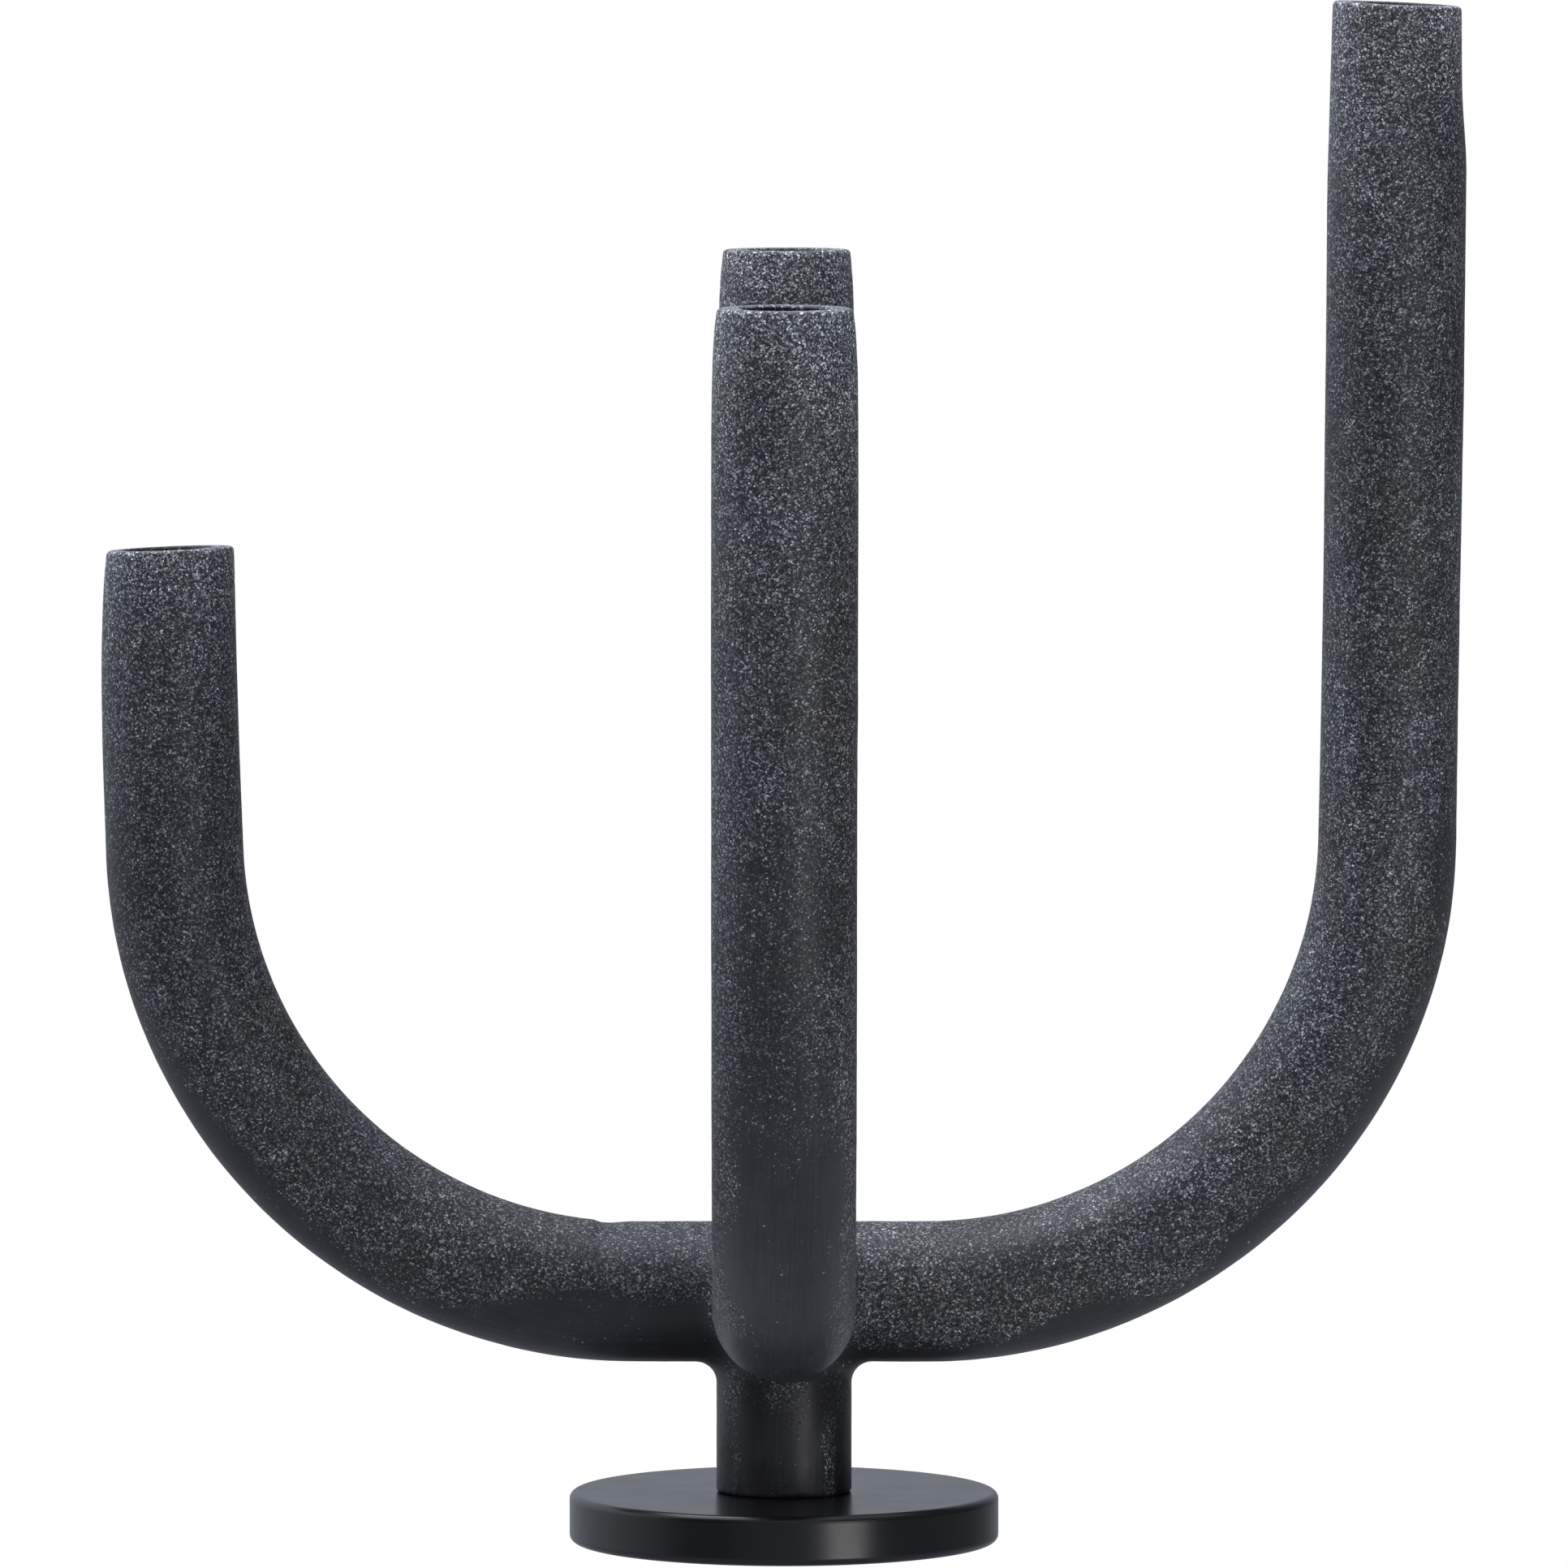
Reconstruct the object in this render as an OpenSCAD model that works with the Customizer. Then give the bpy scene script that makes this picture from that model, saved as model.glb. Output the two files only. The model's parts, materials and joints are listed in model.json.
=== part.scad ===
// Four-armed tabletop candelabra: cast stone arms and stem on a steel disc.
// Frame: origin at the centre of the surface it stands on, +Z up, tall arm towards +X,
// front arm towards -Y. Millimetres.

/* [Arms] */
// Diameter of the left and right arms
side_tube_d = 37.4; // [32:0.2:42]
// Diameter of the front and back arms
depth_tube_d = 37.8; // [32:0.2:42]
// Radius of the left arm's bend, at its centreline
left_bend_r = 121.2; // [80:0.2:160]
// Radius of the right arm's bend
right_bend_r = 121.8; // [80:0.2:160]
// Radius of the front and back arms' bends
depth_bend_r = 120.4; // [80:0.2:160]
// Distance from the stem's axis to the joint where an arm begins to bend
joint_x = 40; // [34:0.2:60]
// The same distance for the right arm
right_joint_x = 37.8; // [34:0.2:60]
// Height of the horizontal centreline where the four arms cross
arm_z = 67; // [60:1:90]
// Height of the left arm's rim
left_rim_z = 265; // [250:0.1:420]
// Height of the right arm's rim
right_rim_z = 408.8; // [260:0.1:460]
// Height of the front arm's rim
front_rim_z = 335.5; // [260:0.1:420]
// Height of the back arm's rim
back_rim_z = 336.4; // [260:0.1:420]
// Outward lean of the left leg, in degrees
left_lean = 1.3; // [0:0.1:4]
// Outward lean of the other three legs, in degrees
leg_lean = 0.5; // [0:0.1:4]

/* [Rims and sockets] */
// How much narrower an arm is at its rim than lower down
rim_narrowing = 2.6; // [0:0.1:5]
// Height over which an arm narrows to its rim
narrowing_h = 42; // [20:1:46]
// Rounding of a rim's outer edge
rim_outer_r = 1.2; // [0.4:0.1:2]
// Rounding of a rim's inner edge
rim_inner_r = 0.8; // [0.3:0.1:1.5]
// Bore of each candle socket
socket_d = 23; // [20:0.1:26]
// Depth of each candle socket
socket_depth = 30; // [20:1:38]

/* [Stem] */
// Diameter of the stem
stem_d = 36; // [30:0.2:42]
// Radius of the blend between the stem and the undersides of the arms
blend_r = 5; // [2:0.5:7]
// Rounding of the stem's bottom edge
stem_edge_r = 1; // [0.4:0.1:2]

/* [Base] */
// Diameter of the steel base
base_d = 113.8; // [100:0.2:170]
// Height of the base's top face above the table
base_top_z = 13.8; // [12.4:0.1:20]
// Rounding of the base's edges
base_edge_r = 1.9; // [0.5:0.1:2.5]
// Gap under the steel base, which the felt pad holds it up by
base_gap = 0.6; // [0.3:0.1:1]
// Diameter of the felt pad
pad_d = 95; // [60:1:98]
// Thickness of the felt pad
pad_t = 1.6; // [1.2:0.1:2]

/* [Steel inside] */
// Diameter of the reinforcing rods
rod_d = 6; // [4:0.5:8]
// Stone left between a rod's end and the socket above it
rod_end_gap = 12; // [8:1:20]
// Side of the square core block that the rods plug into
core_w = 24; // [20:1:25]
// Depth of each rod's hole in the core block
core_hole_depth = 8; // [5:0.5:9]

/* [Hidden] */
$fn = 96;

stone = "#33353c";
satin_black = "#1a1a1d";
zinc_steel = "#a9adb0";
mild_steel = "#7d8084";
felt_black = "#202021";

arc_steps = 6;          // straight pieces in a quarter-round edge
narrowing_steps = 8;    // cones that make up the narrowing below a rim
fit_gap = 0.1;          // radial gap round a rod or stud that is glued in
overshoot = 1;          // how far a cutting shape passes the face it cuts
fuse_step = 0.02;       // how far a straight bar stands proud of the bend it joins
fuse_lap = 1;           // and how far it runs into that bend

// An M8 thread, as rings on a common pitch grid that starts at z = 0
thread_r = 4;
thread_depth = 0.7;
thread_pitch = 1.25;
thread_gap = 0.08;
stud_turns = 46;
stud_start_z = 2;
stud_end_z = stud_start_z + stud_turns * thread_pitch;

// The fastener stack in the base's counterbore, from the top down
counterbore_d = 25;
counterbore_top_z = 9.8;
base_hole_d = 8.8;
washer_d = 22;
washer_hole_d = 8.4;
washer_t = 1.6;
spring_d = 14.8;
spring_hole_d = 8.3;
spring_t = 2;
spring_cut = 1.4;
spring_cut_tilt = 25;
nut_flats = 13;
nut_t = 4;
washer_z = counterbore_top_z - washer_t;
spring_z = washer_z - spring_t;
nut_z = spring_z - nut_t;

pad_clearance = 0.5;
pad_edge = 0.3;
pad_recess_z = pad_t;

core_top = 12;          // core block's reach above the arms' centreline
core_bottom = 22;       // and below it
core_edge = 1;
rod_start_x = core_w / 2 - core_hole_depth + 0.5;

// Points of a quarter round of radius r about c, from one angle to another
function quarter(c, r, from, to) = [
    for (i = [0 : arc_steps])
        let (a = from + (to - from) * i / arc_steps)
        c + r * [cos(a), sin(a)]
];

// Length of a leg, from the end of its bend to its rim
function leg_length(bend_r, rim_z, lean) =
    (rim_z - arm_z - bend_r * (1 - sin(lean))) / cos(lean);

// Puts its children on an arm's leg: origin at the end of the bend, +Z up the leg
module on_leg(joint, bend_r, lean) {
    translate([joint, 0, arm_z + bend_r])
        rotate([0, lean, 0])
            translate([bend_r, 0, 0])
                children();
}

// A round bar that follows an arm's bend, from the level stretch up to the leg
module bend_bar(d, joint, bend_r, lean) {
    translate([joint, 0, arm_z + bend_r])
        rotate([90, 0, 0])
            rotate_extrude(start = -90, angle = 90 - lean)
                translate([bend_r, 0])
                    circle(d = d);
}

// Outline of a leg with its narrowing, rounded rim and candle socket
module leg_outline(d, length) {
    r = d / 2 + fuse_step;
    rim_r = r - rim_narrowing / 2;
    bore_r = socket_d / 2;
    top_of_side = length - rim_outer_r;
    narrowing = [
        for (i = [0 : narrowing_steps])
            let (t = i / narrowing_steps)
            [
                r - (r - rim_r) * t * t,
                top_of_side - narrowing_h * (1 - t)
            ]
    ];
    polygon(concat(
        [[0, -fuse_lap], [r, -fuse_lap]],
        narrowing,
        quarter([rim_r - rim_outer_r, top_of_side], rim_outer_r, 15, 90),
        quarter([bore_r + rim_inner_r, length - rim_inner_r], rim_inner_r, 90, 180),
        [[bore_r, length - socket_depth], [0, length - socket_depth]]
    ));
}

// One arm with its bend, leg and socket, and the channel that its rod is cast into
module arm(d, joint, bend_r, rim_z, lean) {
    color(stone)
        difference() {
            union() {
                bend_bar(d, joint, bend_r, lean);
                on_leg(joint, bend_r, lean)
                    rotate_extrude()
                        leg_outline(d, leg_length(bend_r, rim_z, lean));
            }
            rod_shape(joint, bend_r, rim_z, lean, joint - overshoot);
        }
}

// A rod along an arm's centreline, from start_x beside the stem's axis to below the socket
module rod_shape(joint, bend_r, rim_z, lean, start_x) {
    straight_r = rod_d / 2 + fuse_step;
    top = leg_length(bend_r, rim_z, lean) - socket_depth - rod_end_gap;
    translate([start_x, 0, arm_z])
        rotate([0, 90, 0])
            cylinder(r = straight_r, h = joint + fuse_lap - start_x);
    bend_bar(rod_d, joint, bend_r, lean);
    on_leg(joint, bend_r, lean)
        translate([0, 0, -fuse_lap])
            cylinder(r = straight_r, h = top + fuse_lap);
}

module arm_rod(joint, bend_r, rim_z, lean) {
    color(mild_steel)
        rod_shape(joint, bend_r, rim_z, lean, rod_start_x);
}

// Turns from the +X arm to the direction of each of the other arms
module towards_left() rotate([0, 0, 180]) children();
module towards_front() rotate([0, 0, -90]) children();
module towards_back() rotate([0, 0, 90]) children();

module left_arm() towards_left()
    arm(side_tube_d, joint_x, left_bend_r, left_rim_z, left_lean);
module right_arm()
    arm(side_tube_d, right_joint_x, right_bend_r, right_rim_z, leg_lean);
module front_arm() towards_front()
    arm(depth_tube_d, joint_x, depth_bend_r, front_rim_z, leg_lean);
module back_arm() towards_back()
    arm(depth_tube_d, joint_x, depth_bend_r, back_rim_z, leg_lean);

module left_arm_rod() towards_left()
    arm_rod(joint_x, left_bend_r, left_rim_z, left_lean);
module right_arm_rod()
    arm_rod(right_joint_x, right_bend_r, right_rim_z, leg_lean);
module front_arm_rod() towards_front()
    arm_rod(joint_x, depth_bend_r, front_rim_z, leg_lean);
module back_arm_rod() towards_back()
    arm_rod(joint_x, depth_bend_r, back_rim_z, leg_lean);

// The stem, its rounded foot and the blend under the arms, as one turned outline
module stem_outline() {
    r = stem_d / 2;
    blend_z = arm_z - side_tube_d / 2;
    polygon(concat(
        [[0, base_top_z]],
        quarter([r - stem_edge_r, base_top_z + stem_edge_r], stem_edge_r, -90, 0),
        quarter([r + blend_r, blend_z - blend_r], blend_r, 180, 90),
        [[r + blend_r, arm_z - side_tube_d / 4], [r, arm_z], [0, arm_z]]
    ));
}

// Channels for the rods' tails, the stud and the core block inside the hub
module hub_hollows() {
    for (turn = [0, 90, 180, 270])
        rotate([0, 0, turn])
            translate([0, 0, arm_z])
                rotate([0, 90, 0])
                    cylinder(d = rod_d + 2 * fit_gap, h = joint_x + overshoot);
    translate([0, 0, base_top_z - overshoot])
        cylinder(r = thread_r + fit_gap, h = arm_z - base_top_z);
    core_shape();
}

module hub_stem() {
    color(stone)
        difference() {
            union() {
                translate([-joint_x, 0, arm_z])
                    rotate([0, 90, 0])
                        cylinder(d = side_tube_d, h = joint_x + right_joint_x);
                translate([0, joint_x, arm_z])
                    rotate([90, 0, 0])
                        cylinder(d = depth_tube_d, h = 2 * joint_x);
                rotate_extrude()
                    stem_outline();
            }
            hub_hollows();
        }
}

// Square block with its upright edges taken off
module core_shape() {
    side = core_w / 2;
    near = side - core_edge;
    translate([0, 0, arm_z - core_bottom])
        linear_extrude(core_bottom + core_top)
            polygon([
                [side, -near], [side, near], [near, side], [-near, side],
                [-side, near], [-side, -near], [-near, -side], [near, -side]
            ]);
}

module core_block() {
    color(mild_steel)
        difference() {
            core_shape();
            for (turn = [0, 90, 180, 270])
                rotate([0, 0, turn])
                    translate([core_w / 2 - core_hole_depth, 0, arm_z])
                        rotate([0, 90, 0])
                            cylinder(d = rod_d + 2 * fit_gap, h = core_hole_depth + overshoot);
            stud_shape(thread_gap);
        }
}

// Threaded rod made of rings, so that every threaded piece shares one pitch grid
module stud_shape(gap) {
    crest = thread_r + gap;
    root = crest - thread_depth;
    rings = [
        for (i = [0 : stud_turns - 1], half = [0, 1])
            [half == 0 ? root : crest, stud_start_z + (i + half / 2) * thread_pitch]
    ];
    rotate_extrude()
        polygon(concat(
            [[0, stud_start_z]],
            rings,
            [[root, stud_end_z], [0, stud_end_z]]
        ));
}

module stem_stud() {
    color(zinc_steel)
        stud_shape(0);
}

// Steel disc with rounded edges, a counterbore for the fasteners and a shallow pad recess
module base_disc() {
    r = base_d / 2;
    color(satin_black)
        difference() {
            rotate_extrude()
                polygon(concat(
                    [[0, base_gap]],
                    quarter([r - base_edge_r, base_gap + base_edge_r], base_edge_r, -90, 0),
                    quarter([r - base_edge_r, base_top_z - base_edge_r], base_edge_r, 0, 90),
                    [[0, base_top_z]]
                ));
            cylinder(d = base_hole_d, h = base_top_z + overshoot);
            cylinder(d = counterbore_d, h = counterbore_top_z);
            cylinder(d = pad_d + 2 * pad_clearance, h = pad_recess_z);
        }
}

module flat_washer() {
    color(zinc_steel)
        translate([0, 0, washer_z])
            difference() {
                cylinder(d = washer_d, h = washer_t);
                translate([0, 0, -overshoot])
                    cylinder(d = washer_hole_d, h = washer_t + 2 * overshoot);
            }
}

module spring_washer() {
    color(zinc_steel)
        translate([0, 0, spring_z])
            difference() {
                cylinder(d = spring_d, h = spring_t);
                translate([0, 0, -overshoot])
                    cylinder(d = spring_hole_d, h = spring_t + 2 * overshoot);
                translate([(spring_d + spring_hole_d) / 4, 0, spring_t / 2])
                    rotate([spring_cut_tilt, 0, 0])
                        cube([spring_d / 2, spring_cut, 4 * spring_t], center = true);
            }
}

module jam_nut() {
    color(zinc_steel)
        difference() {
            translate([0, 0, nut_z])
                intersection() {
                    cylinder(d = nut_flats / cos(30), h = nut_t, $fn = 6);
                    rotate_extrude()
                        nut_outline();
                }
            stud_shape(thread_gap);
        }
}

// Turned outline that takes the corners off the nut's two faces
module nut_outline() {
    corner_r = nut_flats / cos(30) / 2;
    face_r = nut_flats * 0.48;
    bevel = (corner_r - face_r) * tan(30);
    polygon([
        [0, 0], [face_r, 0], [corner_r, bevel],
        [corner_r, nut_t - bevel], [face_r, nut_t], [0, nut_t]
    ]);
}

module felt_pad() {
    r = pad_d / 2;
    color(felt_black)
        rotate_extrude()
            polygon([
                [0, 0], [r - pad_edge, 0], [r, pad_edge], [r, pad_t], [0, pad_t]
            ]);
}

hub_stem();
left_arm();
right_arm();
front_arm();
back_arm();
left_arm_rod();
right_arm_rod();
front_arm_rod();
back_arm_rod();
core_block();
stem_stud();
base_disc();
flat_washer();
spring_washer();
jam_nut();
felt_pad();
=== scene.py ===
"""Looks of the four-armed tabletop candelabra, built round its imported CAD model.

Metres, +Z up, the tall arm towards +X and the front arm towards -Y. Sizes and places come from
the frame: the arms' centrelines from the socket mounts, the tubes from the nodes' boxes. The five
cast stone pieces and the felt pad are rebuilt as fine meshes. The steel pieces keep their CAD
shape and only get materials.
"""

import json
import math

import bmesh
import bpy
import numpy as np
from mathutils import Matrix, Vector


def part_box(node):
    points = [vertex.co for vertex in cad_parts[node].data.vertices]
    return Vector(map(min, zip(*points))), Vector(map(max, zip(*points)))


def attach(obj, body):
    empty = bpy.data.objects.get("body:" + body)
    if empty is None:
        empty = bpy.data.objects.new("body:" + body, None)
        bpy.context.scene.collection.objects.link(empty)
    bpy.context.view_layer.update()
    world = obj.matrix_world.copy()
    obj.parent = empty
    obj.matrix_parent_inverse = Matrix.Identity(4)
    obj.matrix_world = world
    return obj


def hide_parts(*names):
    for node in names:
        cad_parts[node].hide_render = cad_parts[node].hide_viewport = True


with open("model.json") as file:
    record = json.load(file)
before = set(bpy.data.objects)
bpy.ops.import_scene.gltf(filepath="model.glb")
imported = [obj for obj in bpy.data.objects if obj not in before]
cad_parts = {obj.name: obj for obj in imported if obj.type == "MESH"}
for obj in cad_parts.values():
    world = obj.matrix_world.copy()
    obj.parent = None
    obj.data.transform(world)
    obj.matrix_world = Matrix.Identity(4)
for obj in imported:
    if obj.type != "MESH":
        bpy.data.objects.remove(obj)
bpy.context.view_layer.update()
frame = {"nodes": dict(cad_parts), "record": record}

MM = 0.001
UP = np.array([0.0, 0.0, 1.0])
MOUNTS = {mount["name"]: mount for mount in frame["record"]["mounts"]}

# Places that all the stone pieces share
STEM_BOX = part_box("hub_stem")
BASE_TOP_Z = STEM_BOX[0].z
DEPTH_TUBE_R = (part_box("front_arm")[1].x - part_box("front_arm")[0].x) / 2
SIDE_TUBE_R = (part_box("right_arm")[1].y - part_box("right_arm")[0].y) / 2
FUSE_STEP = 0.02 * MM
ARM_Z = STEM_BOX[1].z - (DEPTH_TUBE_R - FUSE_STEP)
ROD_R = (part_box("right_arm_rod")[1].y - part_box("right_arm_rod")[0].y) / 2

# The cast surface
SKIN_INSET = 0.03 * MM      # how far the nominal cast surface lies inside the CAD surface
MEAN_WEAR = 0.08 * MM       # and how far it is worn down below that on average
MOST_WEAR = 0.25 * MM
STEM_R = 18 * MM - SKIN_INSET
BLEND_R = 5.5 * MM          # fillet where the tubes and the stem run together
FOOT_EDGE_R = 1 * MM
RIM_OUTER_R = 1.2 * MM
RIM_INNER_R = 0.8 * MM
FIT_GAP = 0.1 * MM          # room round the rods and the stud in the hub

# Mesh spacing
SEGMENTS = 216
HOLE_SEGMENTS = 48
EDGE_RINGS = 6
FACE_RINGS = 8
WALL_RINGS = 33
FLOOR_RINGS = 11
RING_GAP = 1.1 * MM
FINE_RING_GAP = 0.5 * MM
FINE_REACH = 15 * MM
HUB_GRID = 0.75 * MM
CUT_TOLERANCE = 0.001 * MM
SHARP_ANGLE = math.radians(50)


# ---------------------------------------------------------------- numbers over many points

def smooth(low, high, x):
    """0 below low, 1 above high, and a smooth step between them."""
    t = np.clip((x - low) / (high - low), 0, 1)
    return t * t * (3 - 2 * t)


def lattice(x, y, z, seed):
    """A repeatable number from 0 to 1 for each whole-numbered point."""
    h = (x * 374761393 + y * 668265263 + z * 1440662683 + seed * 1013904223) & 0xFFFFFFFF
    h = ((h ^ (h >> 13)) * 1274126177) & 0xFFFFFFFF
    h = ((h ^ (h >> 15)) * 2246822519) & 0xFFFFFFFF
    return ((h ^ (h >> 16)) & 0xFFFFFF) / 0xFFFFFF


def noise(points, size, seed=0):
    """Smooth noise from -1 to 1, with features of about the given size."""
    place = points / size + 512.37
    cell = np.floor(place).astype(np.int64)
    t = place - cell
    t = t * t * t * (t * (t * 6 - 15) + 10)
    total = np.zeros(len(points))
    for corner in np.ndindex(2, 2, 2):
        weight = np.where(corner, t, 1 - t).prod(axis=1)
        total += weight * lattice(*(cell + corner).T, seed)
    return 2 * total - 1


def wear(points):
    """How far the cast surface lies off its nominal shape: inwards, so never above 0."""
    waves = 0.06 * noise(points, 42 * MM, 1) + 0.04 * noise(points, 14 * MM, 2)
    grain = 0.025 * noise(points, 5 * MM, 3) + 0.012 * noise(points, 1.7 * MM, 4)
    return np.clip((waves + grain) * MM - MEAN_WEAR, -MOST_WEAR, 0)


# ---------------------------------------------------------------- the arms' centrelines

class Arm:
    """An arm's centreline: a quarter bend from the hub's joint face, then a leaning leg.

    Each casting is a little off true: its leg is bowed outwards, its rim has drifted outwards
    and sideways, and its tube is thinner in places. rim_tilt is how far the rim's face leans
    outwards and sideways, in degrees. thinning lists (place, radius lost) with place 0 at the
    joint, 1 where the bend ends and 2 at the rim.
    """

    def __init__(self, side_name, out, tube_r, rim_tilt, narrowing, bow, drift, sway, thinning):
        mount = MOUNTS[side_name + "_socket"]
        axis = np.array(mount["axis"])
        self.name = side_name + "_arm"
        self.out = np.array(out, float)
        self.side = np.cross(UP, self.out)
        self.tube_r = tube_r - FUSE_STEP - SKIN_INSET
        self.rim_slope = [math.tan(math.radians(tilt)) for tilt in rim_tilt]
        self.narrowing = narrowing
        self.bow = bow * MM
        self.drift = drift * MM
        self.sway = sway * MM
        self.thin_places, self.thin_losses = np.array(thinning).T
        self.joint = (np.array(STEM_BOX) @ self.out).max()
        self.socket_r = mount["dims"]["r_mm"] * MM
        self.wall_length = mount["dims"]["length_mm"] * MM
        self.lean_sin = axis @ self.out
        self.lean_cos = axis[2]
        rim = np.array(mount["pos_m"]) + axis * (self.wall_length / 2 + RIM_INNER_R)
        reach = rim @ self.out - self.joint
        rise = rim[2] - ARM_Z
        self.bend_r = (reach * self.lean_cos - rise * self.lean_sin) / (1 - self.lean_sin)
        self.bend_length = self.bend_r * math.asin(self.lean_cos)
        self.leg_length = (rise - self.bend_r * (1 - self.lean_sin)) / self.lean_cos
        self.length = self.bend_length + self.leg_length
        rod_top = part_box(self.name + "_rod")[1].z
        self.rod_end = self.length - (rim[2] - rod_top) / self.lean_cos

    def radius(self, along):
        """Radius of the tube before it narrows towards the rim."""
        on_leg = np.clip((along - self.bend_length) / self.leg_length, 0, 1)
        place = np.clip(along / self.bend_length, 0, 1) + on_leg
        return self.tube_r - np.interp(place, self.thin_places, self.thin_losses) * MM

    def off_true(self, along, outer):
        """How far the middle of the casting lies off the centreline."""
        leg = np.clip((along - self.bend_length) / self.leg_length, 0, 1)
        outwards = self.bow * np.sin(math.pi * leg) + self.drift * leg
        return outwards[:, None] * outer + (self.sway * leg)[:, None] * self.side

    def centre(self, along):
        """Points on the centreline, and directions there away from the bend's centre."""
        turn = np.clip(along / self.bend_r, None, self.bend_length / self.bend_r)
        turn = np.maximum(turn, 0)
        leg = np.maximum(along - self.bend_length, 0)
        before = np.minimum(along, 0)
        reach = self.joint + before + self.bend_r * np.sin(turn) + leg * self.lean_sin
        rise = ARM_Z + self.bend_r * (1 - np.cos(turn)) + leg * self.lean_cos
        points = reach[:, None] * self.out + rise[:, None] * UP
        outer = np.sin(turn)[:, None] * self.out - np.cos(turn)[:, None] * UP
        return points, outer

    def along_direction(self, outer):
        """Directions up the arm, from those away from the bend's centre."""
        return (-(outer @ UP))[:, None] * self.out + (outer @ self.out)[:, None] * UP

    def unbend(self, points):
        """The same points with the arm straightened: outwards, sideways and along it."""
        u = points @ self.out - self.joint
        w = points[:, 2] - ARM_Z
        turn = np.arctan2(u, self.bend_r - w)
        on_leg = (
            (u - self.bend_r * self.lean_cos) * self.lean_sin
            + (w - self.bend_r * (1 - self.lean_sin)) * self.lean_cos
        )
        off_leg = (
            (u - self.bend_r * self.lean_cos) * self.lean_cos
            - (w - self.bend_r * (1 - self.lean_sin)) * self.lean_sin
        )
        places = [on_leg > 0, u < 0]
        along = np.select(places, [self.bend_length + on_leg, u], self.bend_r * turn)
        outwards = np.select(
            places, [off_leg, -w], np.hypot(u, self.bend_r - w) - self.bend_r
        )
        return np.stack([outwards, points @ self.side, along], axis=1)


def round_narrowing(gap, outer_share):
    """Radius lost near a rim that was rounded over evenly; gap is the distance below the rim."""
    return (0.36 * np.exp(-gap / (18 * MM)) + 0.95 * np.exp(-gap / (8 * MM))) * MM


def long_narrowing(gap, outer_share):
    """An even taper on the outer side, and a nearly straight inner side."""
    outer = 2.2 * np.exp(-gap / (19 * MM))
    inner = 0.58 * np.exp(-gap / (60 * MM))
    return (inner * (1 - outer_share) + outer * outer_share) * MM


def necked_narrowing(gap, outer_share):
    """A straight taper on the inner side, and a neck with a soft shoulder on the outer side."""
    inner = 1.1 * np.clip(1 - gap / (51 * MM), 0, 1) ** 1.2
    shoulder = 1.25 * (1 - smooth(20 * MM, 44 * MM, gap))
    outer = shoulder + 0.35 * (1 - smooth(0, 30 * MM, gap))
    return (inner * (1 - outer_share) + outer * outer_share) * MM


DEPTH_THINNING = [(0, 0), (0.25, 0.2), (1, 0.2), (1.4, 0.05), (2, 0)]
ARMS = [
    Arm(
        "left", (-1, 0, 0), SIDE_TUBE_R, rim_tilt=(0.9, -1.2), narrowing=long_narrowing,
        bow=0.3, drift=0, sway=0, thinning=[(0, 0), (0.5, 0.1), (1, 0.33), (2, 0.33)],
    ),
    Arm(
        "right", (1, 0, 0), SIDE_TUBE_R, rim_tilt=(2.0, 0), narrowing=necked_narrowing,
        bow=0.35, drift=0.33, sway=0,
        thinning=[(0, 0), (0.7, 0), (1.15, 0.5), (1.35, 0.5), (1.55, 0.28), (2, 0.25)],
    ),
    Arm(
        "front", (0, -1, 0), DEPTH_TUBE_R, rim_tilt=(0.1, 0), narrowing=round_narrowing,
        bow=0, drift=0, sway=0.3, thinning=DEPTH_THINNING,
    ),
    Arm(
        "back", (0, 1, 0), DEPTH_TUBE_R, rim_tilt=(0.2, 0), narrowing=round_narrowing,
        bow=0, drift=0, sway=-0.75, thinning=DEPTH_THINNING,
    ),
]


# ---------------------------------------------------------------- meshes

def new_piece(name, vertices, faces):
    mesh = bpy.data.meshes.new(name)
    mesh.from_pydata(np.asarray(vertices).tolist(), [], faces)
    piece = bpy.data.objects.new(name, mesh)
    bpy.context.scene.collection.objects.link(piece)
    return piece


def ring_faces(rings, count):
    """Quads between rings of count points each, one ring after another."""
    first = np.arange(rings - 1)[:, None] * count + np.arange(count)[None, :]
    after = np.arange(rings - 1)[:, None] * count + (np.arange(count)[None, :] + 1) % count
    quads = np.stack([first, after, after + count, first + count], axis=-1)
    return quads.reshape(-1, 4).tolist()


def tube(name, centres, across, upward, radius, count):
    """A closed round tube along centres, whose rings span the two given directions."""
    angle = np.linspace(0, 2 * math.pi, count, endpoint=False)
    circle = np.cos(angle)[None, :, None] * across[:, None] + np.sin(angle)[None, :, None] * upward
    vertices = (centres[:, None] + radius * circle).reshape(-1, 3)
    last = (len(centres) - 1) * count
    caps = [list(range(count))[::-1], list(range(last, last + count))]
    return new_piece(name, vertices, ring_faces(len(centres), count) + caps)


def face_outwards(piece):
    """Turns a closed mesh's faces to point outwards."""
    bm = bmesh.new()
    bm.from_mesh(piece.data)
    bmesh.ops.recalc_face_normals(bm, faces=bm.faces)
    bm.to_mesh(piece.data)
    bm.free()


def carve(piece, cutter):
    """Cuts the cutter's shape out of the piece and removes the cutter."""
    face_outwards(cutter)
    step = piece.modifiers.new("carve", "BOOLEAN")
    step.operation = "DIFFERENCE"
    step.solver = "MANIFOLD"
    step.object = cutter
    depsgraph = bpy.context.evaluated_depsgraph_get()
    carved = bpy.data.meshes.new_from_object(piece.evaluated_get(depsgraph))
    whole = piece.data
    piece.modifiers.clear()
    piece.data = carved
    bpy.data.meshes.remove(whole)
    bpy.data.objects.remove(cutter)


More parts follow.
